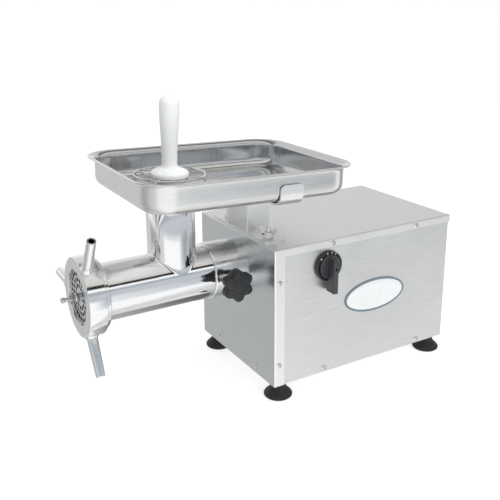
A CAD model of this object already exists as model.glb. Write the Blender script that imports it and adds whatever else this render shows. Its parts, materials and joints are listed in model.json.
import json
import math

import bmesh
import bpy
from mathutils import Matrix, Vector


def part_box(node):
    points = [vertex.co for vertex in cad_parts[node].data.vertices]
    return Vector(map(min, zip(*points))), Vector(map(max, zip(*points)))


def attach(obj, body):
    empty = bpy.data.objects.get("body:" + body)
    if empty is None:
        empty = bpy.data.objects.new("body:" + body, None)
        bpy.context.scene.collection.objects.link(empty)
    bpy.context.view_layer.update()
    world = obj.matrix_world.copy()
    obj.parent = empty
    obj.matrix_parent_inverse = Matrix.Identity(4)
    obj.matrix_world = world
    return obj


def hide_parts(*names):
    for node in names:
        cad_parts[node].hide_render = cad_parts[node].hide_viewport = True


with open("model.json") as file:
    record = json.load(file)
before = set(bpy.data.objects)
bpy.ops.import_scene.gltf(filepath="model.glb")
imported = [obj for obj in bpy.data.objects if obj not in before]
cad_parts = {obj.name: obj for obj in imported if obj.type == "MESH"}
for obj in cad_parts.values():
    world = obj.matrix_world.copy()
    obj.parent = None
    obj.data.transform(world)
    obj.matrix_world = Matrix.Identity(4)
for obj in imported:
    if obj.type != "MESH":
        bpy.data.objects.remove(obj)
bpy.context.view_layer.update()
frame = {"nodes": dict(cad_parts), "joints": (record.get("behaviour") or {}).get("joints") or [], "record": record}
print("frame loaded:", len(frame["nodes"]), "nodes")

mm = 0.001
joints = {joint["name"]: joint for joint in frame["joints"]}
wormAxis = Vector(joints["worm_spin"]["pos_m"])
liftAxis = Vector(joints["tray_lift"]["axis"])
fallAngle = math.atan2(liftAxis.y, liftAxis.z)


def addPiece(name, mesh, finish, body, replaced=()):
    piece = bpy.data.objects.new(name, mesh)
    bpy.context.scene.collection.objects.link(piece)
    for layer in finish if isinstance(finish, list) else [finish]:
        mesh.materials.append(layer)
    for face in mesh.polygons:
        face.use_smooth = True
    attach(piece, body)
    if replaced:
        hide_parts(*replaced)
    return piece


def roundedCorners(points, steps=4):
    # points are (radius, height) or (radius, height, how much to round that corner)
    result = []
    count = len(points)
    for index, point in enumerate(points):
        here = Vector(point[:2])
        size = point[2] if len(point) > 2 else 0.0
        if size == 0.0 or index in (0, count - 1):
            result.append(here)
            continue
        before = Vector(points[index - 1][:2])
        after = Vector(points[index + 1][:2])
        start = here + (before - here).normalized() * size
        end = here + (after - here).normalized() * size
        for step in range(steps + 1):
            t = step / steps
            result.append(start * (1 - t) ** 2 + here * 2 * t * (1 - t) + end * t ** 2)
    return result


def gridMesh(name, rows, closedAlong=False, place=None):
    # every row has the same number of points, and a row of one point closes a tip
    form = bmesh.new()
    made = [[form.verts.new(point) for point in row] for row in rows]
    pairs = list(zip(made, made[1:]))
    if closedAlong:
        pairs.append((made[-1], made[0]))
    for near, far in pairs:
        width = max(len(near), len(far))
        for index in range(width):
            after = (index + 1) % width
            corners = [near[index % len(near)], near[after % len(near)],
                       far[after % len(far)], far[index % len(far)]]
            distinct = [c for i, c in enumerate(corners) if c not in corners[:i]]
            if len(distinct) > 2:
                form.faces.new(distinct)
    bmesh.ops.remove_doubles(form, verts=form.verts, dist=1e-7)
    bmesh.ops.recalc_face_normals(form, faces=form.faces)
    if place is not None:
        bmesh.ops.transform(form, matrix=place, verts=form.verts)
    mesh = bpy.data.meshes.new(name)
    form.to_mesh(mesh)
    form.free()
    return mesh


def turnedMesh(name, profile, place, segments=96, ripple=None):
    # a profile of (radius, height) turned round local Z
    # ripple takes the angle, height and radius, and gives the real radius there
    rows = []
    for radius, height in profile:
        if radius < 1e-7:
            rows.append([Vector((0, 0, height))])
            continue
        row = []
        for index in range(segments):
            angle = 2 * math.pi * index / segments
            real = ripple(angle, height, radius) if ripple else radius
            row.append(Vector((real * math.cos(angle), real * math.sin(angle), height)))
        rows.append(row)
    return gridMesh(name, rows, place=place)


def tubeAlong(name, points, radius, closed=False):
    curve = bpy.data.curves.new(name, "CURVE")
    curve.dimensions = "3D"
    curve.bevel_depth = radius
    curve.bevel_resolution = 3
    curve.use_fill_caps = True
    spline = curve.splines.new("NURBS")
    spline.points.add(len(points) - 1)
    for target, point in zip(spline.points, points):
        target.co = (*point, 1.0)
    spline.use_cyclic_u = closed
    spline.order_u = 3
    spline.use_endpoint_u = not closed
    spline.resolution_u = 6
    holder = bpy.data.objects.new(name + "Line", curve)
    mesh = bpy.data.meshes.new_from_object(holder)
    bpy.data.objects.remove(holder)
    bpy.data.curves.remove(curve)
    mesh.name = name
    return mesh


def joined(name, meshes):
    form = bmesh.new()
    for mesh in meshes:
        form.from_mesh(mesh)
        bpy.data.meshes.remove(mesh)
    mesh = bpy.data.meshes.new(name)
    form.to_mesh(mesh)
    form.free()
    return mesh


def alongY(x, z, y):
    # local Z becomes +Y
    return Matrix.Translation((x, y, z)) @ Matrix.Rotation(math.radians(-90), 4, "X")


def alongX(y, z, x):
    # local Z becomes +X, local X points down
    return Matrix.Translation((x, y, z)) @ Matrix.Rotation(math.radians(90), 4, "Y")


surface = {
    "fieldLow": 0.3,
    "fieldHigh": 0.7,
    "noiseRoughness": 0.6,
    "cloudScale": 14,
    "cloudShare": 0.35,
    "grainShare": 0.65,
    "wornScale": 45,
    "wornSwing": 0.07,
    "bumpDepth": 0.1 * mm,
    "foldColour": (1, 0.99, 0.97),
}


def startFinish(name):
    material = bpy.data.materials.new(name)
    material.use_nodes = True
    tree = material.node_tree
    return material, tree, tree.nodes["Principled BSDF"]


def grainField(tree, stretch, detail=6.0):
    coordinates = tree.nodes.new("ShaderNodeTexCoord")
    mapping = tree.nodes.new("ShaderNodeMapping")
    mapping.inputs["Scale"].default_value = stretch
    noise = tree.nodes.new("ShaderNodeTexNoise")
    noise.inputs["Scale"].default_value = 1.0
    noise.inputs["Detail"].default_value = detail
    noise.inputs["Roughness"].default_value = surface["noiseRoughness"]
    tree.links.new(coordinates.outputs["Object"], mapping.inputs["Vector"])
    tree.links.new(mapping.outputs["Vector"], noise.inputs["Vector"])
    return noise.outputs["Fac"]


def spread(tree, field, low, high, fromLow=surface["fieldLow"], fromHigh=surface["fieldHigh"]):
    remap = tree.nodes.new("ShaderNodeMapRange")
    remap.inputs["From Min"].default_value = fromLow
    remap.inputs["From Max"].default_value = fromHigh
    remap.inputs["To Min"].default_value = low
    remap.inputs["To Max"].default_value = high
    tree.links.new(field, remap.inputs["Value"])
    return remap.outputs["Result"]


def tint(tree, field, dark, light):
    ramp = tree.nodes.new("ShaderNodeValToRGB")
    ramp.color_ramp.elements[0].position = surface["fieldLow"]
    ramp.color_ramp.elements[0].color = (*dark, 1)
    ramp.color_ramp.elements[1].position = surface["fieldHigh"]
    ramp.color_ramp.elements[1].color = (*light, 1)
    tree.links.new(field, ramp.inputs["Fac"])
    return ramp.outputs["Color"]


def bumpFrom(tree, field, strength):
    bump = tree.nodes.new("ShaderNodeBump")
    bump.inputs["Strength"].default_value = strength
    bump.inputs["Distance"].default_value = surface["bumpDepth"]
    tree.links.new(field, bump.inputs["Height"])
    return bump.outputs["Normal"]


def shades(colour, shade):
    dark = tuple(part * (1 - shade) for part in colour)
    light = tuple(min(1.0, part * (1 + shade)) for part in colour)
    return dark, light


def foldTint(tree, flat):
    # a folded lip is brushed across and takes the light differently from the sheet's face
    place = tree.nodes.new("ShaderNodeTexCoord")
    split = tree.nodes.new("ShaderNodeSeparateXYZ")
    sideways = tree.nodes.new("ShaderNodeMath")
    sideways.operation = "ABSOLUTE"
    tree.links.new(place.outputs["Normal"], split.inputs["Vector"])
    tree.links.new(split.outputs["X"], sideways.inputs[0])
    mix = tree.nodes.new("ShaderNodeMixRGB")
    tree.links.new(spread(tree, sideways.outputs["Value"], 0.0, 1.0, 0.5, 0.9), mix.inputs["Fac"])
    tree.links.new(flat, mix.inputs["Color1"])
    mix.inputs["Color2"].default_value = (*surface["foldColour"], 1)
    return mix.outputs["Color"]


def steelFinish(name, colour, rough, grain, swing=0.06, bump=0.06, shade=0.06, folded=False):
    # grain is how many marks there are per metre along X, Y and Z
    material, tree, shader = startFinish(name)
    fine = grainField(tree, grain)
    cloudy = grainField(tree, (surface["cloudScale"],) * 3, detail=3.0)
    both = tree.nodes.new("ShaderNodeMath")
    both.operation = "MULTIPLY_ADD"
    both.inputs[1].default_value = surface["cloudShare"]
    tree.links.new(cloudy, both.inputs[0])
    tree.links.new(spread(tree, fine, 0.0, surface["grainShare"]), both.inputs[2])
    field = both.outputs[0]
    flat = tint(tree, field, *shades(colour, shade))
    tree.links.new(foldTint(tree, flat) if folded else flat, shader.inputs["Base Color"])
    tree.links.new(spread(tree, field, rough - swing, rough + swing), shader.inputs["Roughness"])
    tree.links.new(bumpFrom(tree, fine, bump), shader.inputs["Normal"])
    shader.inputs["Metallic"].default_value = 1.0
    return material


def mouldedFinish(name, colour, rough, pebble=900, bump=0.15, shade=0.12, milky=0.0):
    # pebble is how many specks there are per metre, and milky how much light goes in under the skin
    material, tree, shader = startFinish(name)
    fine = grainField(tree, (pebble,) * 3, detail=3.0)
    worn = grainField(tree, (surface["wornScale"],) * 3, detail=5.0)
    swing = surface["wornSwing"]
    tree.links.new(tint(tree, worn, *shades(colour, shade)), shader.inputs["Base Color"])
    tree.links.new(spread(tree, worn, rough - swing, rough + swing), shader.inputs["Roughness"])
    tree.links.new(bumpFrom(tree, fine, bump), shader.inputs["Normal"])
    shader.inputs["Subsurface Weight"].default_value = milky
    return material


finishes = {
    "stainless_sheet": steelFinish("brushedSheet", (0.8, 0.805, 0.81), 0.34, (1500, 25, 1500), folded=True),
    "front_sheet": steelFinish("brushedFront", (0.6, 0.62, 0.63), 0.30, (1500, 1500, 25), folded=True),
    "side_sheet": steelFinish("brushedSide", (0.83, 0.83, 0.82), 0.36, (1500, 22, 1500)),
    "polished_steel": steelFinish("polishedTube", (0.86, 0.865, 0.87), 0.09, (700, 60, 700),
                                  swing=0.035, bump=0.02, shade=0.03),
    "satin_ring": steelFinish("satinRing", (0.72, 0.73, 0.735), 0.30, (900, 900, 900),
                              swing=0.07, bump=0.12, shade=0.08),
    "satin_steel": steelFinish("satinHub", (0.82, 0.83, 0.84), 0.2, (900, 40, 900), swing=0.05, bump=0.05),
    "tray_steel": steelFinish("trayOutside", (0.8, 0.805, 0.79), 0.28, (25, 25, 900),
                              swing=0.03, bump=0.015, shade=0.03),
    "tray_inside": steelFinish("trayInside", (0.68, 0.69, 0.7), 0.15, (12, 500, 12),
                               swing=0.03, bump=0.015, shade=0.03),
    "guard_wire": steelFinish("guardWire", (0.82, 0.82, 0.82), 0.12, (800, 800, 800), swing=0.04, bump=0.03),
    "cutting_steel": steelFinish("groundSteel", (0.62, 0.63, 0.64), 0.24, (1200, 300, 1200),
                                 swing=0.08, bump=0.08),
    "screw_steel": steelFinish("screwSteel", (0.78, 0.77, 0.74), 0.22, (1500, 1500, 1500)),
    "cast_aluminium": steelFinish("castAlloy", (0.62, 0.63, 0.64), 0.5, (420, 420, 420),
                                  swing=0.1, bump=0.35, shade=0.12),
    "gear_steel": steelFinish("gearSteel", (0.45, 0.45, 0.46), 0.3, (900, 900, 900), swing=0.08, bump=0.1),
    "bearing_steel": steelFinish("bearingSteel", (0.72, 0.72, 0.74), 0.14, (900, 900, 900),
                                 swing=0.04, bump=0.03),
    "lamination_steel": steelFinish("laminations", (0.3, 0.3, 0.32), 0.45, (80, 2000, 80),
                                    swing=0.08, bump=0.4),
    "winding_copper": steelFinish("enamelledCopper", (0.6, 0.28, 0.15), 0.32, (1600, 60, 1600),
                                  swing=0.08, bump=0.3),
    "capacitor_can": steelFinish("drawnCan", (0.72, 0.72, 0.73), 0.3, (900, 30, 900), bump=0.05),
    "black_plastic": mouldedFinish("blackPlastic", (0.016, 0.017, 0.019), 0.38),
    "charcoal_plastic": mouldedFinish("charcoalPlastic", (0.045, 0.048, 0.052), 0.33),
    "foot_rubber": mouldedFinish("footRubber", (0.014, 0.014, 0.015), 0.55, pebble=600, bump=0.3),
    "seal_rubber": mouldedFinish("sealRubber", (0.06, 0.035, 0.03), 0.55, pebble=600, bump=0.3),
    "white_plastic": mouldedFinish("whitePlastic", (0.94, 0.95, 0.96), 0.3, pebble=700, bump=0.05,
                                   shade=0.015, milky=0.15),
    "grey_paint": mouldedFinish("greyPaint", (0.12, 0.125, 0.135), 0.4, pebble=500, bump=0.1),
    "badge_enamel": mouldedFinish("badgeFace", (0.82, 0.84, 0.84), 0.25, pebble=400, bump=0.03, shade=0.02),
    "badge_rim": mouldedFinish("badgeRim", (0.16, 0.22, 0.25), 0.3, pebble=400, bump=0.03, shade=0.04),
    "mark_paint": mouldedFinish("markPaint", (0.85, 0.85, 0.85), 0.45, pebble=400, bump=0.05, shade=0.03),
}
print("finishes made:", len(finishes))

slotOf = {row["node"]: row["material_slot"] for row in frame["record"]["subparts"]}
ownFinish = {
    "front_plate": "front_sheet",
    "side_panel_right": "side_sheet",
    "side_panel_left": "side_sheet",
    "rear_panel": "front_sheet",
}
# the bent sheets and small castings get rounded edges, in mm
edgeRound = {
    "front_plate": 0.5, "top_cover": 0.4, "side_panel_right": 0.2, "side_panel_left": 0.2, "rear_panel": 0.2,
    "tray_cradle": 0.6, "tray_bracket": 0.6, "wing_nut_right": 0.5, "wing_nut_left": 0.5, "cable_gland": 0.4,
}
for node, piece in frame["nodes"].items():
    piece.data.materials.clear()
    piece.data.materials.append(finishes[ownFinish.get(node, slotOf[node])])
    if node in edgeRound:
        bevel = piece.modifiers.new("roundedEdges", "BEVEL")
        bevel.width = edgeRound[node] * mm
        bevel.segments = 3
        bevel.limit_method = "ANGLE"
        bevel.angle_limit = math.radians(40)
        bevel.harden_normals = True
print("nodes finished")

# the barrel and the neck are one welded piece
barrel = {
    "outerRadius": 38.0 * mm,
    "wall": 3.5 * mm,
    "neckRadius": 32.4 * mm,
    "neckWall": 2.4 * mm,
    "weld": 2.2 * mm,
    "collarRadius": 46.5 * mm,
    "collarBack": 30.0 * mm,
    "spigotRadius": 33.0 * mm,
    "spigotLength": 45.0 * mm,
    "plateRadius": 41.1 * mm,
    "plateBack": 15.0 * mm,
    "edge": 0.5 * mm,
    "stepEdge": 0.8 * mm,
    "collarEdge": 1.6 * mm,
    "collarRoom": 3.0 * mm,
    "hubRoom": 2.0 * mm,
    "spigotEdge": 1.0 * mm,
    "spigotWall": 8.0 * mm,
    "boreStep": 4.0 * mm,
    "neckEdge": 0.6 * mm,
    # how far out and how far up the weld goes, as shares of its size
    "weldShape": ((1.0, 0.0), (0.55, 0.25), (0.2, 0.65), (0.0, 1.4), (0.0, 2.2)),
    "sides": 144,
    "neckSteps": 72,
    "joinWithin": 0.002 * mm,
}


def ringRow(radius, y, gap=0.0):
    # one ring of the barrel, open at the top by gap on each side of straight up
    sides = barrel["sides"]
    row = []
    for index in range(sides + 1):
        angle = gap + (2 * math.pi - 2 * gap) * index / sides
        row.append(wormAxis + Vector((radius * math.sin(angle), y, radius * math.cos(angle))))
    return row


def saddleRows(radius, neckRadius):
    rows = []
    for step in range(barrel["neckSteps"] + 1):
        turn = math.pi * step / barrel["neckSteps"]
        gap = math.asin(neckRadius * math.sin(turn) / radius)
        rows.append(ringRow(radius, -neckRadius * math.cos(turn), gap))
    return rows


def neckRow(neckRadius, barrelRadius, lift, level=None):
    steps = 2 * barrel["neckSteps"]
    row = []
    for index in range(steps):
        turn = 2 * math.pi * index / steps
        x = neckRadius * math.sin(turn)
        y = -neckRadius * math.cos(turn)
        z = math.sqrt(max(barrelRadius ** 2 - x ** 2, 0.0)) + lift
        row.append(wormAxis + Vector((x, y, z if level is None else level)))
    return row


def makeBarrel():
    size = barrel
    low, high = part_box("barrel")
    front = low.y - wormAxis.y
    back = high.y - wormAxis.y
    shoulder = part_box("ring_nut")[0].y - wormAxis.y
    collarBack = shoulder + size["collarBack"]
    hubFront = back - size["spigotLength"]
    inner = size["outerRadius"] - size["wall"]
    form = bmesh.new()

    def skin(rows, wrap):
        made = [[form.verts.new(point) for point in row] for row in rows]
        for near, far in zip(made, made[1:]):
            for index in range(len(near) if wrap else len(near) - 1):
                after = (index + 1) % len(near)
                form.faces.new((near[index], near[after], far[after], far[index]))

    outside = size["outerRadius"]
    outer = roundedCorners([
        (size["plateRadius"], front),
        (size["collarRadius"], front, size["edge"]),
        (size["collarRadius"], collarBack, size["collarEdge"]),
        (outside, collarBack, size["stepEdge"]),
        (outside, collarBack + size["collarRoom"]),
    ])
    rows = [ringRow(radius, y) for radius, y in outer]
    rows += saddleRows(outside, size["neckRadius"] + size["weld"])
    spigot = size["spigotRadius"]
    spigotBore = spigot - size["spigotWall"]
    boreEnd = hubFront - size["boreStep"]
    tail = roundedCorners([
        (outside, hubFront - size["hubRoom"]),
        (outside, hubFront, size["stepEdge"]),
        (spigot, hubFront),
        (spigot, back, size["spigotEdge"]),
        (spigotBore, back),
        (spigotBore, boreEnd),
        (inner, boreEnd),
    ])
    rows += [ringRow(radius, y) for radius, y in tail]
    innerNeck = size["neckRadius"] - size["neckWall"]
    rows += saddleRows(inner, innerNeck)[::-1]
    plateBack = shoulder + size["plateBack"]
    rows += [ringRow(inner, plateBack), ringRow(size["plateRadius"], plateBack)]
    rows += [ringRow(size["plateRadius"], front)]
    skin(rows, False)

    top = high.z - wormAxis.z
    weld = size["weld"]
    neck = size["neckRadius"]
    neckRows = [neckRow(neck + weld * out, outside, weld * lift) for out, lift in size["weldShape"]]
    neckRows += [
        neckRow(neck, outside, 0.0, top - size["neckEdge"]),
        neckRow(neck - size["neckEdge"], outside, 0.0, top),
        neckRow(innerNeck, outside, 0.0, top),
        neckRow(innerNeck, inner, 0.0),
    ]
    skin(neckRows, True)
    bmesh.ops.remove_doubles(form, verts=form.verts, dist=size["joinWithin"])
    bmesh.ops.recalc_face_normals(form, faces=form.faces)
    mesh = bpy.data.meshes.new("barrelAndNeck")
    form.to_mesh(mesh)
    form.free()
    return addPiece("barrelAndNeck", mesh, finishes["polished_steel"], "head", ("barrel",))


makeBarrel()
print("barrel made")

ringNut = {
    "edge": 1.4 * mm,
    "opening": 36.0 * mm,
    "lip": 4.0 * mm,
    "collarRoom": 46.8 * mm,
    "handleTurns": (30, 150, 270),
    "handleRoot": 7.0 * mm,
    "handleTip": 6.0 * mm,
    "handleReach": 103.0 * mm,
    "handleSetback": 8.0 * mm,
    "handleBore": 4.0 * mm,
    "boreDepth": 26.0 * mm,
    "boreTaper": 0.2 * mm,
    "handleSink": 3.0 * mm,
    "weld": 1.8 * mm,
    "weldStand": 0.3 * mm,
    "weldSlope": 0.8 * mm,
}


def makeRingNut():
    size = ringNut
    low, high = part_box("ring_nut")
    radius = (high.x - low.x) / 2
    depth = high.y - low.y
    profile = roundedCorners([
        (size["opening"], size["lip"]),
        (size["opening"], 0.0, 0.8 * mm),
        (radius, 0.0, size["edge"]),
        (radius, depth, size["edge"]),
        (size["collarRoom"], depth, 0.4 * mm),
        (size["collarRoom"], size["lip"]),
        (size["opening"], size["lip"]),
    ])
    mesh = turnedMesh("ringNut", profile, alongY(wormAxis.x, wormAxis.z, low.y), 144)
    piece = addPiece("ringNut", mesh, [finishes["polished_steel"], finishes["satin_ring"]], "ring",
                     ("ring_nut",))
    for face in mesh.polygons:
        if face.normal.y < -0.9:
            face.material_index = 1
    return piece


def makeHandles():
    size = ringNut
    ringLow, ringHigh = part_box("ring_nut")
    ringRadius = (ringHigh.x - ringLow.x) / 2
    root = size["handleRoot"]
    tip = size["handleTip"]
    reach = size["handleReach"]
    bore = size["handleBore"]
    boreEnd = reach - size["boreDepth"]
    weld = size["weld"]
    start = ringRadius - size["handleSink"]
    profile = roundedCorners([
        (root + weld, start),
        (root + weld, ringRadius + size["weldStand"], 0.8 * mm),
        (root, ringRadius + weld + size["weldSlope"], 1.0 * mm),
        (tip, reach, 0.7 * mm),
        (bore, reach, 0.5 * mm),
        (bore - size["boreTaper"], boreEnd, 0.3 * mm),
        (0.0, boreEnd),
    ])
    meshes = []
    for turn in size["handleTurns"]:
        place = Matrix.Translation((wormAxis.x, ringLow.y + size["handleSetback"], wormAxis.z))
        place = place @ Matrix.Rotation(math.radians(turn), 4, "Y")
        meshes.append(turnedMesh("handle", [(0.0, start)] + profile, place, 48))
    mesh = joined("ringHandles", meshes)
    return addPiece("ringHandles", mesh, finishes["polished_steel"], "ring",
                    ("ring_handles",))


makeRingNut()
makeHandles()
print("ring nut made")

hub = {
    "radius": 39.5 * mm,
    "socket": 33.1 * mm,
    "frontEdge": 2.6 * mm,
    "flangeRadius": 48.0 * mm,
    "flangeDepth": 8.0 * mm,
}


def makeHub():
    size = hub
    low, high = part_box("hub_collar")
    depth = high.y - low.y
    flange = depth - size["flangeDepth"]
    profile = roundedCorners([
        (size["socket"], depth),
        (size["socket"], 0.0, 0.5 * mm),
        (size["radius"], 0.0, size["frontEdge"]),
        (size["radius"], flange, 0.3 * mm),
        (size["flangeRadius"], flange, 0.5 * mm),
        (size["flangeRadius"], depth, 0.5 * mm),
        (size["socket"], depth),
    ], 6)
    mesh = turnedMesh("hubCollar", profile, alongY(wormAxis.x, wormAxis.z, low.y), 144)
    return addPiece("hubCollar", mesh, finishes["satin_steel"], "root", ("hub_collar",))


makeHub()
print("hub made")

# the lock knob sits on its threaded stud
lockKnob = {
    "lobes": 6,
    "lobeRadius": 22.3 * mm,
    "valleyRadius": 16.6 * mm,
    "lobeFullness": 0.62,
    "edge": 2.6 * mm,
    "backEdge": 1.56 * mm,
    "edgeSteps": 5,
    "skirt": 10.0 * mm,
    "neckLength": 5.0 * mm,
    "dome": 1.2 * mm,
    "shoulder": 2.2 * mm,
    "shoulderRise": 0.54 * mm,
    "capRadius": 8.5 * mm,
    "capMiddle": 5.1 * mm,
    # the groove round the cap: how far out from its radius, how far below the top
    "capSteps": ((1.6 * mm, 0.1 * mm), (0.5 * mm, 0.05 * mm), (0.2 * mm, 0.5 * mm),
                 (-0.2 * mm, 0.5 * mm), (-0.5 * mm, 0.05 * mm)),
    "segments": 144,
    "threadPitch": 1.5 * mm,
    "threadDepth": 0.8 * mm,
    "threadSteps": 10,
}


def lobedRadius(angle):
    size = lockKnob
    wave = (1 + math.cos(size["lobes"] * angle)) / 2
    share = wave ** size["lobeFullness"]
    return size["valleyRadius"] + (size["lobeRadius"] - size["valleyRadius"]) * share


def makeLockKnob():
    size = lockKnob
    low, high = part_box("lock_knob")
    centre = (low + high) / 2
    thickness = high.x - low.x
    neck = size["neckLength"]
    edge = size["edge"]
    backEdge = size["backEdge"]
    angles = [2 * math.pi * index / size["segments"] for index in range(size["segments"])]

    def outline(radiusAt, height):
        return [Vector((radiusAt(a) * math.cos(a), radiusAt(a) * math.sin(a), height)) for a in angles]

    def lobed(inset, height):
        return outline(lambda a: lobedRadius(a) - inset, height)

    def circle(radius, height):
        return outline(lambda a: radius, height)

    turns = [math.pi / 2 * step / size["edgeSteps"] for step in range(size["edgeSteps"] + 1)]
    top = thickness - size["dome"]
    sections = [[Vector((0, 0, 0))], circle(size["skirt"], 0.0), circle(size["skirt"], neck)]
    for turn in turns:
        sections.append(lobed(backEdge * (1 - math.sin(turn)), neck + backEdge * (1 - math.cos(turn))))
    for turn in turns:
        sections.append(lobed(edge * (1 - math.cos(turn)), top - edge * (1 - math.sin(turn))))
    sections.append(lobed(edge + size["shoulder"], top + size["shoulderRise"]))
    sections += [circle(size["capRadius"] + out, thickness - sink) for out, sink in size["capSteps"]]
    sections.append(circle(size["capMiddle"], thickness))
    sections.append([Vector((0, 0, thickness))])
    mesh = gridMesh("lockKnob", sections, place=alongX(centre.y, centre.z, low.x))
    return addPiece("lockKnob", mesh, finishes["black_plastic"], "lock", ("lock_knob",))


def makeLockStud():
    size = lockKnob
    low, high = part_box("lock_stud")
    centre = (low + high) / 2
    radius = (high.z - low.z) / 2
    length = high.x - low.x
    pitch = size["threadPitch"]
    count = int(length / pitch * size["threadSteps"])

    def thread(angle, height, crest):
        phase = (height / pitch - angle / (2 * math.pi)) % 1.0
        return crest - size["threadDepth"] * abs(2 * phase - 1)

    profile = [(0.0, 0.0)]
    profile += [(radius, length * index / count) for index in range(count + 1)]
    profile.append((0.0, length))
    mesh = turnedMesh("lockStud", profile, alongX(centre.y, centre.z, low.x), 32, ripple=thread)
    return addPiece("lockStud", mesh, finishes["screw_steel"], "lock", ("lock_stud",))


makeLockKnob()
makeLockStud()
print("lock knob made")

# the tray is one sheet, pressed down into its throat
tray = {
    "width": 218.0 * mm,
    "length": 292.0 * mm,
    "throatFromFront": 73.7 * mm,
    "depth": 33.0 * mm,
    "flare": 8.0 * mm,
    "rim": 9.5 * mm,
    "corner": 36.0 * mm,
    "bottomRound": 14.0 * mm,
    "sheet": 1.0 * mm,
    "throat": 28.8 * mm,
    "throatLength": 12.0 * mm,
    "throatBend": 1.8 * mm,
    "throatBack": 1.6 * mm,
    "bead": 1.1 * mm,
    "beadTurns": (60, 20, -20, -60, -100, -140),
    "cornerSteps": 16,
    "sideSteps": 12,
    "bendSteps": 8,
    # heights up the wall between its two bends
    "wallShares": (0.35, 0.7, 1.0),
}


def trayPlace():
    low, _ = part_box("tray_throat")
    drop = tray["throatLength"] * math.cos(fallAngle) + tray["throat"] * math.sin(fallAngle)
    return Matrix.Translation((wormAxis.x, wormAxis.y, low.z + drop)) @ Matrix.Rotation(-fallAngle, 4, "X")


def outlinePoints(grow, middle):
    size = tray
    halfX = size["width"] / 2 + grow
    halfY = size["length"] / 2 + grow
    corner = size["corner"] + grow
    points = []
    corners = [(1, 1, 0), (-1, 1, 90), (-1, -1, 180), (1, -1, 270)]
    for sideX, sideY, start in corners:
        centre = Vector((sideX * (halfX - corner), middle + sideY * (halfY - corner)))
        for step in range(size["cornerSteps"] + 1):
            angle = math.radians(start + 90 * step / size["cornerSteps"])
            points.append(centre + Vector((corner * math.cos(angle), corner * math.sin(angle))))
    result = []
    for index, point in enumerate(points):
        result.append(point)
        after = points[(index + 1) % len(points)]
        if (index + 1) % (size["cornerSteps"] + 1) == 0:
            for step in range(1, size["sideSteps"]):
                result.append(point.lerp(after, step / size["sideSteps"]))
    return result


def makeTray():
    size = tray
    middle = size["length"] / 2 - size["throatFromFront"]
    sheet = size["sheet"]
    guide = outlinePoints(0.0, middle)
    directions = [point.normalized() for point in guide]
    rows = []

    def circle(radius, height):
        rows.append([Vector((d.x * radius, d.y * radius, height)) for d in directions])

    def wall(grow, height):
        rows.append([Vector((p.x, p.y, height)) for p in outlinePoints(grow, middle)])

    def side(inset):
        # from the flat bottom up to the flare, inset from the outside face
        low = size["bottomRound"]
        bend = low - inset
        steps = size["bendSteps"]
        path = []
        for step in range(steps + 1):
            turn = math.pi / 2 * step / steps
            path.append((-low + bend * math.sin(turn), low - bend * math.cos(turn)))
        for share in size["wallShares"]:
            path.append((-inset, low + (size["depth"] - low) * share))
        for step in range(1, steps + 1):
            turn = math.pi / 2 * step / steps
            path.append(((size["rim"] - size["bead"]) * (1 - math.cos(turn)) - inset * math.cos(turn),
                         size["depth"] + (size["flare"] - sheet + inset) * math.sin(turn)))
        return path

    inner = size["throat"] - sheet
    circle(inner, -size["throatLength"])
    circle(inner, -sheet)
    circle(inner + sheet * 0.5, sheet * 0.4)
    circle(inner + size["throatBend"], sheet)
    for grow, height in side(sheet):
        wall(grow, height)
    beadTop = size["depth"] + size["flare"]
    edge = size["rim"] - size["bead"]
    for turn in size["beadTurns"]:
        angle = math.radians(turn)
        wall(edge + size["bead"] * math.cos(angle), beadTop - size["bead"] * (1 - math.sin(angle)))
    for grow, height in side(0.0)[::-1]:
        wall(grow, height)
    circle(size["throat"] + size["throatBend"], 0.0)
    circle(size["throat"], -size["throatBack"])
    circle(size["throat"], -size["throatLength"])
    mesh = gridMesh("trayPan", rows, closedAlong=True, place=trayPlace())
    piece = addPiece("trayPan", mesh, [finishes["tray_steel"], finishes["tray_inside"]], "tray",
                     ("tray", "tray_throat"))
    # the four rings of the throat and the inside of the wall come first in the mesh
    insideRows = 4 + len(side(sheet)) - 1
    for face in mesh.polygons[:insideRows * len(guide)]:
        face.material_index = 1
    return piece


makeTray()
print("tray made")

# a guard of bent wire stands over the throat
guard = {
    "hoopRadius": 47.0 * mm,
    "eyeRadius": 23.0 * mm,
    "height": 26.0 * mm,
    "eyeDrop": 5.0 * mm,
    "wire": 1.5 * mm,
    "footSpread": 2.0 * mm,
    "armStraight": 8.0 * mm,
    "pad": 3.5 * mm,
    "padHeight": 2.0 * mm,
    "arms": 4,
    "firstArm": 45,
    "hoopPoints": 32,
}


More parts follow.
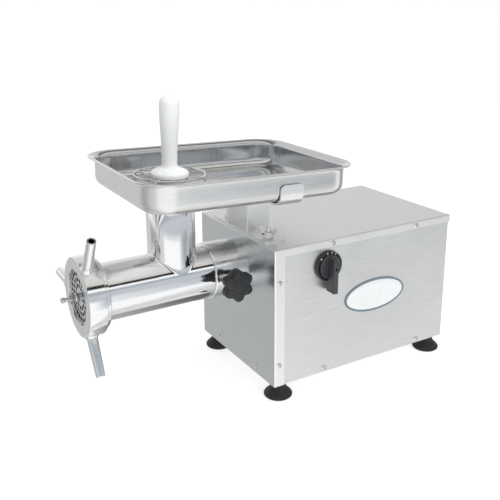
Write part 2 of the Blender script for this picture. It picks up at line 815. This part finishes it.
def makeGuard():
    size = guard
    eyeHeight = size["height"] - size["eyeDrop"]
    floorHeight = tray["sheet"] + size["wire"] * 0.8
    around = [2 * math.pi * index / size["hoopPoints"] for index in range(size["hoopPoints"])]
    meshes = []
    for radius, height in ((size["hoopRadius"], size["height"]), (size["eyeRadius"], eyeHeight)):
        ring = [(radius * math.cos(a), radius * math.sin(a), height) for a in around]
        meshes.append(tubeAlong("hoop", ring, size["wire"], closed=True))
    eye = size["eyeRadius"]
    hoop = size["hoopRadius"]
    foot = hoop + size["footSpread"]
    armPath = [
        (eye, 0, eyeHeight),
        (eye + size["armStraight"], 0, eyeHeight),
        (hoop - size["armStraight"], 0, size["height"] - 0.5 * mm),
        (hoop, 0, size["height"]),
        (foot - 0.5 * mm, 0, size["height"] - 4 * mm),
        (foot, 0, size["height"] / 2),
        (foot, 0, floorHeight + 3 * mm),
        (foot, 0, floorHeight - 0.4 * mm),
    ]
    padLow = tray["sheet"]
    padTop = padLow + size["padHeight"]
    padProfile = roundedCorners([
        (0.0, padLow),
        (size["pad"], padLow, 0.2 * mm),
        (size["pad"], padTop, 0.8 * mm),
        (0.0, padTop),
    ])
    for arm in range(size["arms"]):
        turn = Matrix.Rotation(math.radians(size["firstArm"] + 360 * arm / size["arms"]), 4, "Z")
        meshes.append(tubeAlong("arm", [turn @ Vector(point) for point in armPath], size["wire"]))
        meshes.append(turnedMesh("pad", padProfile, turn @ Matrix.Translation((foot, 0, 0)), 24))
    mesh = joined("wireGuard", meshes)
    mesh.transform(trayPlace())
    return addPiece("wireGuard", mesh, finishes["guard_wire"], "tray", ("wire_guard",))


makeGuard()
print("guard made")

pusher = {
    "bodyRadius": 20.0 * mm,
    "bodyLength": 105.0 * mm,
    "discRadius": 25.5 * mm,
    "gripLow": 10.2 * mm,
    "gripTop": 13.0 * mm,
    "gripLength": 92.0 * mm,
    "discHeight": 14.0 * mm,
    "domeHeight": 11.0 * mm,
    "domeSteps": 10,
    "seatGap": 0.3 * mm,
}


def makePusher():
    size = pusher
    seat = guard["height"] - guard["eyeDrop"] + guard["wire"] + size["seatGap"]
    top = seat + size["discHeight"] + size["gripLength"]
    grip = size["gripLow"]
    crown = size["gripTop"]
    profile = roundedCorners([
        (0.0, seat - size["bodyLength"]),
        (size["bodyRadius"], seat - size["bodyLength"], 3 * mm),
        (size["bodyRadius"], seat, 0.8 * mm),
        (size["discRadius"], seat, 1.2 * mm),
        (size["discRadius"], seat + 6.0 * mm, 2.6 * mm),
        (grip + 8 * mm, seat + 10.5 * mm, 3 * mm),
        (grip, seat + 13 * mm, 4.5 * mm),
        (grip + 0.3 * mm, seat + 40 * mm, 9 * mm),
        (crown, top - 26 * mm, 7 * mm),
        (crown, top - size["domeHeight"]),
    ], 6)
    for step in range(1, size["domeSteps"] + 1):
        angle = math.pi / 2 * step / size["domeSteps"]
        profile.append(Vector((crown * math.cos(angle), top - size["domeHeight"] * (1 - math.sin(angle)))))
    profile[-1] = Vector((0.0, top))
    mesh = turnedMesh("pusher", profile, trayPlace(), 96)
    return addPiece("pusherStick", mesh, finishes["white_plastic"], "pusher", ("pusher",))


makePusher()
print("pusher made")

switch = {
    "discRadius": 16.5 * mm,
    "discThickness": 4.5 * mm,
    "seatDepth": 2.0 * mm,
    "seatGap": 0.3 * mm,
    "groove": 1.0 * mm,
    "discRim": 2.4 * mm,
    "dish": 0.9 * mm,
    "barSink": 1.0 * mm,
    "barWidth": 7.4 * mm,
    "barPoint": 2.5 * mm,
    "barEdge": 1.2 * mm,
    "tailFrom": 22.8 * mm,
    "holeRadius": 2.0 * mm,
    "holeDepth": 5.0 * mm,
    "markAngles": (-48, -12, 10, 30),
    "markLength": 2.6 * mm,
    "markWidth": 1.3 * mm,
    "markHeight": 0.2 * mm,
    "markEdge": 0.12 * mm,
}


def makeBezel():
    size = switch
    low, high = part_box("switch_bezel")
    centre = (low + high) / 2
    radius = (high.z - low.z) / 2
    thick = high.x - low.x
    seat = thick - size["seatDepth"]
    profile = roundedCorners([
        (0.0, 0.0),
        (radius, 0.0, 0.3 * mm),
        (radius, thick, 1.5 * mm),
        (size["discRadius"] + size["groove"] + 0.4 * mm, thick, 0.5 * mm),
        (size["discRadius"] + size["groove"], seat, 0.3 * mm),
        (0.0, seat),
    ], 5)
    mesh = turnedMesh("switchBezel", profile, alongX(centre.y, centre.z, low.x), 96)
    piece = addPiece("switchBezel", mesh, finishes["black_plastic"], "root",
                     ("switch_bezel",))

    form = bmesh.new()
    reach = (radius + size["discRadius"]) / 2
    for angle in size["markAngles"]:
        made = bmesh.ops.create_cube(form, size=1.0)["verts"]
        bmesh.ops.scale(form, verts=made,
                        vec=(size["markHeight"] * 2, size["markWidth"], size["markLength"]))
        turn = Matrix.Rotation(math.radians(-angle), 4, "X")
        place = Matrix.Translation((high.x, centre.y, centre.z)) @ turn @ Matrix.Translation((0, 0, reach))
        bmesh.ops.transform(form, matrix=place, verts=made)
    bmesh.ops.bevel(form, geom=form.edges[:], offset=size["markEdge"], segments=2, affect="EDGES")
    marks = bpy.data.meshes.new("switchMarks")
    form.to_mesh(marks)
    form.free()
    addPiece("switchMarks", marks, finishes["mark_paint"], "root")
    return piece


def makeSwitchKnob():
    size = switch
    low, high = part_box("switch_knob")
    bezelLow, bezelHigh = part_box("switch_bezel")
    centre = (bezelLow + bezelHigh) / 2
    half = size["barWidth"] / 2
    discStart = bezelHigh.x - size["seatDepth"] + size["seatGap"]
    discFace = discStart + size["discThickness"]
    up = high.z - centre.z
    down = low.z - centre.z
    form = bmesh.new()

    # the bar's side view: (x, z) from the point down to the tail, which steps back behind the disc
    barBack = discFace - size["barSink"]
    sideView = [
        (barBack, up), (high.x, up), (high.x, down), (low.x, down),
        (low.x, -size["tailFrom"]), (barBack, -size["tailFrom"]),
    ]
    right = [form.verts.new((x, centre.y + half, centre.z + z)) for x, z in sideView]
    left = [form.verts.new((x, centre.y - half, centre.z + z)) for x, z in sideView]
    point = [form.verts.new((x, centre.y, centre.z + up)) for x, z in sideView[:2]]
    for vert in (right[0], right[1], left[0], left[1]):
        vert.co.z -= size["barPoint"]
    form.faces.new(right)
    form.faces.new(left[::-1])
    form.faces.new((left[1], point[1], right[1], right[2], left[2]))
    form.faces.new((right[0], point[0], left[0], left[5], right[5]))
    form.faces.new((right[1], point[1], point[0], right[0]))
    form.faces.new((point[1], left[1], left[0], point[0]))
    for index in (2, 3, 4):
        form.faces.new((right[index], right[index + 1], left[index + 1], left[index]))
    bmesh.ops.recalc_face_normals(form, faces=form.faces)
    outer = [edge for edge in form.edges
             if all(vert.co.x > discFace or vert.co.z < centre.z for vert in edge.verts)]
    bmesh.ops.bevel(form, geom=outer, offset=size["barEdge"], segments=4, profile=0.6, affect="EDGES",
                    clamp_overlap=True)

    # the screw's hole is cut into the largest face at the front
    front = max(form.faces, key=lambda each: (round(each.calc_center_median().x, 5), each.calc_area()))
    screw = Matrix.Translation((high.x, centre.y, centre.z)) @ Matrix.Rotation(math.radians(90), 4, "Y")
    rim = bmesh.ops.create_circle(form, radius=size["holeRadius"], segments=24, matrix=screw)
    rimVerts = rim["verts"]
    rimEdges = [edge for edge in form.edges if edge.verts[0] in rimVerts and edge.verts[1] in rimVerts]
    border = list(front.edges)
    bmesh.ops.delete(form, geom=[front], context="FACES_ONLY")
    bmesh.ops.triangle_fill(form, edges=border + rimEdges, use_beauty=True)
    floor = [form.verts.new(vert.co - Vector((size["holeDepth"], 0, 0))) for vert in rimVerts]
    for edge in rimEdges:
        first = rimVerts.index(edge.verts[0])
        second = rimVerts.index(edge.verts[1])
        form.faces.new((rimVerts[first], rimVerts[second], floor[second], floor[first]))
    form.faces.new(floor)
    bmesh.ops.recalc_face_normals(form, faces=form.faces)
    bar = bpy.data.meshes.new("switchBar")
    form.to_mesh(bar)
    form.free()

    radius = size["discRadius"]
    rimInside = radius - size["discRim"]
    thick = size["discThickness"]
    dish = thick - size["dish"]
    profile = roundedCorners([
        (0.0, 0.0),
        (radius, 0.0, 0.4 * mm),
        (radius, thick, 1.2 * mm),
        (rimInside, thick, 0.6 * mm),
        (rimInside - 0.6 * mm, dish, 0.4 * mm),
        (0.0, dish),
    ], 5)
    disc = turnedMesh("switchDisc", profile, alongX(centre.y, centre.z, discStart), 72)
    mesh = joined("switchKnob", [bar, disc])
    piece = addPiece("switchKnob", mesh, finishes["charcoal_plastic"], "switch",
                     ("switch_knob",))
    mesh.set_sharp_from_angle(angle=math.radians(35))
    return piece


makeBezel()
makeSwitchKnob()
print("switch made")

foot = {
    "radius": 20.0 * mm,
    "neck": 10.5 * mm,
    "ribs": 20,
    "ribDepth": 0.5 * mm,
    # the ribs run between these shares of the height
    "ribsFrom": 0.18,
    "ribsTo": 0.5,
    "pocket": 5.6 * mm,
}


def makeFeet():
    size = foot
    low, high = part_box("rubber_feet")
    height = high.z - low.z
    neck = size["neck"]
    wide = size["radius"]
    profile = roundedCorners([
        (0.0, height * 0.45),
        (size["pocket"], height * 0.45),
        (size["pocket"], 0.0, 0.5 * mm),
        (wide - 2.4 * mm, 0.0, 1.2 * mm),
        (wide, height * 0.1, 1 * mm),
        (wide, height * 0.2, 1.6 * mm),
        (neck + 3 * mm, height * 0.46, 4 * mm),
        (neck, height * 0.6, 3 * mm),
        (neck, height, 0.5 * mm),
        (0.0, height),
    ], 5)

    def ribbed(angle, level, radius):
        share = min(max((radius - neck - 1 * mm) / (wide - neck), 0.0), 1.0)
        onSkirt = 1.0 if size["ribsFrom"] < level / height < size["ribsTo"] else 0.0
        wave = abs(math.sin(size["ribs"] * angle / 2)) ** 3
        return radius - size["ribDepth"] * wave * share * onSkirt

    meshes = []
    for x in (low.x + wide, high.x - wide):
        for y in (low.y + wide, high.y - wide):
            meshes.append(turnedMesh("foot", profile, Matrix.Translation((x, y, low.z)), 120, ripple=ribbed))
    mesh = joined("rubberFeet", meshes)
    return addPiece("rubberFeet", mesh, finishes["foot_rubber"], "root", ("rubber_feet",))


makeFeet()
print("feet made")

badge = {
    "rimWidth": 3.2 * mm,
    "rimHeight": 0.25 * mm,
    "edge": 0.5 * mm,
    "faceRing": 6.0 * mm,
    "segments": 120,
}


def makeBadge():
    size = badge
    low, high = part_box("badge_plate")
    centre = (low + high) / 2
    halfLength = (high.y - low.y) / 2
    halfHeight = (high.z - low.z) / 2
    thick = high.x - low.x
    face = thick - size["rimHeight"]
    levels = [
        (0.0, 0.0),
        (0.0, thick - size["edge"]),
        (size["edge"] * 0.3, thick - size["edge"] * 0.3),
        (size["edge"], thick),
        (size["rimWidth"] - 0.2 * mm, thick),
        (size["rimWidth"], face),
        (size["rimWidth"] + size["faceRing"], face),
    ]
    rows = [[Vector((low.x, centre.y, centre.z))]]
    for inset, height in levels:
        row = []
        for index in range(size["segments"]):
            angle = 2 * math.pi * index / size["segments"]
            row.append(Vector((low.x + height, centre.y + (halfLength - inset) * math.cos(angle),
                               centre.z + (halfHeight - inset) * math.sin(angle))))
        rows.append(row)
    rows.append([Vector((low.x + face, centre.y, centre.z))])
    mesh = gridMesh("badgePlate", rows)
    piece = addPiece("badgePlate", mesh, [finishes["badge_rim"], finishes["badge_enamel"]], "root",
                     ("badge_plate",))
    for polygon in mesh.polygons:
        offset = polygon.center - centre
        inside = math.hypot(offset.y / (halfLength - size["rimWidth"]),
                            offset.z / (halfHeight - size["rimWidth"]))
        if polygon.normal.x > 0.5 and inside < 1.0:
            polygon.material_index = 1
    return piece


makeBadge()
print("badge made")

studio = {
    "floorRadius": 6.0,
    "backdropCurve": 2.5,
    "curveSteps": 12,
    "backdropHeight": 6.0,
    "floorColour": (0.5, 0.5, 0.5),
    "floorRough": 0.9,
    "floorShine": 0.1,
    "floorGlow": 0.72,
    "skyStrength": 1.1,
    # the floor cards come in between these heights, and the bands end between these places along Y
    "horizon": (0.08, -0.06),
    "bandsEnd": (0.4, 0.2),
    # the studio's light and dark bands round the Y axis: degrees up from the right, then colour
    "skyBands": (
        (-180, (1, 1, 1)), (-136, (1, 1, 1)), (-126, (0.3, 0.3, 0.3)), (-84, (0.14, 0.14, 0.14)),
        (-76, (1, 1, 1)), (-30, (1, 1, 1)), (-20, (0.58, 0.62, 0.66)), (0, (0.5, 0.54, 0.58)),
        (14, (0.56, 0.59, 0.62)), (22, (0.38, 0.42, 0.46)), (26, (0.38, 0.42, 0.46)), (27, (1, 1, 1)),
        (34, (1, 1, 1)), (35, (0.02, 0.02, 0.02)), (43, (0.02, 0.02, 0.02)), (45, (0.66, 0.64, 0.61)),
        (84, (0.78, 0.76, 0.73)), (87, (0.1, 0.1, 0.1)), (105, (0.2, 0.2, 0.2)), (124, (0.36, 0.36, 0.36)),
        (128, (0.64, 0.64, 0.64)), (168, (0.72, 0.72, 0.72)), (173, (1, 1, 1)), (180, (1, 1, 1)),
    ),
    # cards round the floor, below the horizon: degrees round from +X, then how much light they leave
    "floorCards": (
        (-180, 0.6), (-133, 0.6), (-125, 0.38), (-97, 0.42), (-90, 0.62), (-62, 0.68), (-54, 1.0),
        (28, 1.0), (34, 0.68), (53, 0.68), (58, 1.0), (80, 1.0), (88, 0.62), (180, 0.6),
    ),
    "cameraPlace": (0.829, -0.4992, 0.529),
    "azimuth": 59.58,
    "elevation": 15.6,
    "roll": -0.34,
    "lens": 51.29,
    "sensor": 36.0,
    "shiftY": -0.1,
    # each softbox: where it is, what it points at, width, height and power
    "keyLight": ((1.9, 0.3, 1.2), (0, 0.1, 0.15), 1.6, 1.4, 18),
    "topLight": ((0.0, 0.2, 2.2), (0, 0, 0.2), 1.8, 1.8, 16),
}


def makeFloor():
    # a white floor that curves up into a round backdrop, seen only by the camera
    wide = studio["floorRadius"]
    curve = studio["backdropCurve"]
    profile = [(0.0, 0.0), (wide - curve, 0.0)]
    for step in range(1, studio["curveSteps"] + 1):
        turn = math.pi / 2 * step / studio["curveSteps"]
        profile.append((wide - curve * (1 - math.sin(turn)), curve * (1 - math.cos(turn))))
    profile.append((wide, studio["backdropHeight"]))
    mesh = turnedMesh("studioFloor", profile, Matrix.Identity(4), 64)
    for face in mesh.polygons:
        face.use_smooth = True
    floor = bpy.data.objects.new("studioFloor", mesh)
    bpy.context.scene.collection.objects.link(floor)
    material, _, shader = startFinish("floorPaper")
    shader.inputs["Base Color"].default_value = (*studio["floorColour"], 1)
    shader.inputs["Roughness"].default_value = studio["floorRough"]
    shader.inputs["Specular IOR Level"].default_value = studio["floorShine"]
    shader.inputs["Emission Color"].default_value = (1, 1, 1, 1)
    shader.inputs["Emission Strength"].default_value = studio["floorGlow"]
    mesh.materials.append(material)
    floor.visible_glossy = False  # steel mirrors the bands of the world instead
    floor.visible_diffuse = False
    floor.visible_shadow = False


def turnRamp(tree, first, second, stops):
    # a ramp over the whole turn of the angle whose tangent is first / second
    angle = tree.nodes.new("ShaderNodeMath")
    angle.operation = "ARCTAN2"
    share = tree.nodes.new("ShaderNodeMapRange")
    share.inputs["From Min"].default_value = -math.pi
    share.inputs["From Max"].default_value = math.pi
    ramp = tree.nodes.new("ShaderNodeValToRGB")
    tree.links.new(first, angle.inputs[0])
    tree.links.new(second, angle.inputs[1])
    tree.links.new(angle.outputs["Value"], share.inputs["Value"])
    tree.links.new(share.outputs["Result"], ramp.inputs["Fac"])
    elements = ramp.color_ramp.elements
    for _ in stops[2:]:
        elements.new(1.0)
    for element, (degrees, colour) in zip(elements, stops):
        element.position = (degrees + 180) / 360
        element.color = (*colour, 1)
    return ramp.outputs["Color"]


def fade(tree, field, ends):
    # 0 at the first end and 1 at the second
    share = tree.nodes.new("ShaderNodeMapRange")
    share.inputs["From Min"].default_value = ends[0]
    share.inputs["From Max"].default_value = ends[1]
    tree.links.new(field, share.inputs["Value"])
    return share.outputs["Result"]


def makeWorld():
    world = bpy.data.worlds.new("studioWorld")
    bpy.context.scene.world = world
    world.use_nodes = True
    tree = world.node_tree
    background = tree.nodes["Background"]
    coordinates = tree.nodes.new("ShaderNodeTexCoord")
    split = tree.nodes.new("ShaderNodeSeparateXYZ")
    tree.links.new(coordinates.outputs["Generated"], split.inputs["Vector"])
    bands = turnRamp(tree, split.outputs["Z"], split.outputs["X"], studio["skyBands"])
    cards = turnRamp(tree, split.outputs["Y"], split.outputs["X"],
                     [(degrees, (level, level, level)) for degrees, level in studio["floorCards"]])
    below = fade(tree, split.outputs["Z"], studio["horizon"])
    # ahead of the head and below the horizon the bands give way to the floor cards alone
    plain = tree.nodes.new("ShaderNodeMath")
    plain.operation = "MULTIPLY"
    tree.links.new(fade(tree, split.outputs["Y"], studio["bandsEnd"]), plain.inputs[0])
    tree.links.new(below, plain.inputs[1])
    banded = tree.nodes.new("ShaderNodeMixRGB")
    tree.links.new(plain.outputs["Value"], banded.inputs["Fac"])
    tree.links.new(bands, banded.inputs["Color1"])
    banded.inputs["Color2"].default_value = (1, 1, 1, 1)
    shaded = tree.nodes.new("ShaderNodeMixRGB")
    shaded.blend_type = "MULTIPLY"
    tree.links.new(below, shaded.inputs["Fac"])
    tree.links.new(banded.outputs["Color"], shaded.inputs["Color1"])
    tree.links.new(cards, shaded.inputs["Color2"])
    tree.links.new(shaded.outputs["Color"], background.inputs["Color"])
    background.inputs["Strength"].default_value = studio["skyStrength"]


def addSoftbox(name):
    place, target, width, height, power = studio[name]
    light = bpy.data.lights.new(name, "AREA")
    light.shape = "RECTANGLE"
    light.size = width
    light.size_y = height
    light.energy = power
    holder = bpy.data.objects.new(name, light)
    holder.location = place
    aim = Vector(target) - Vector(place)
    holder.rotation_euler = aim.to_track_quat("-Z", "Y").to_euler()
    holder.visible_glossy = False  # the steel mirrors only the bands of the world
    bpy.context.scene.collection.objects.link(holder)


def makeCamera():
    camera = bpy.data.cameras.new("studioCamera")
    camera.sensor_width = studio["sensor"]
    camera.lens = studio["lens"]
    camera.shift_y = studio["shiftY"]
    camera.clip_start = 0.01
    camera.clip_end = 50
    holder = bpy.data.objects.new("studioCamera", camera)
    bpy.context.scene.collection.objects.link(holder)
    around = math.radians(studio["azimuth"])
    rise = math.radians(studio["elevation"])
    roll = math.radians(studio["roll"])
    back = Vector((math.sin(around) * math.cos(rise), -math.cos(around) * math.cos(rise), math.sin(rise)))
    levelRight = Vector((math.cos(around), math.sin(around), 0))
    levelUp = back.cross(levelRight)
    right = levelRight * math.cos(roll) + levelUp * math.sin(roll)
    up = levelUp * math.cos(roll) - levelRight * math.sin(roll)
    turn = Matrix((right, up, back)).transposed()
    holder.matrix_world = Matrix.Translation(studio["cameraPlace"]) @ turn.to_4x4()
    bpy.context.scene.camera = holder


makeFloor()
makeWorld()
addSoftbox("keyLight")
addSoftbox("topLight")
makeCamera()
bpy.context.scene.view_settings.view_transform = "Standard"
bpy.context.scene.view_settings.look = "None"
print("studio made")
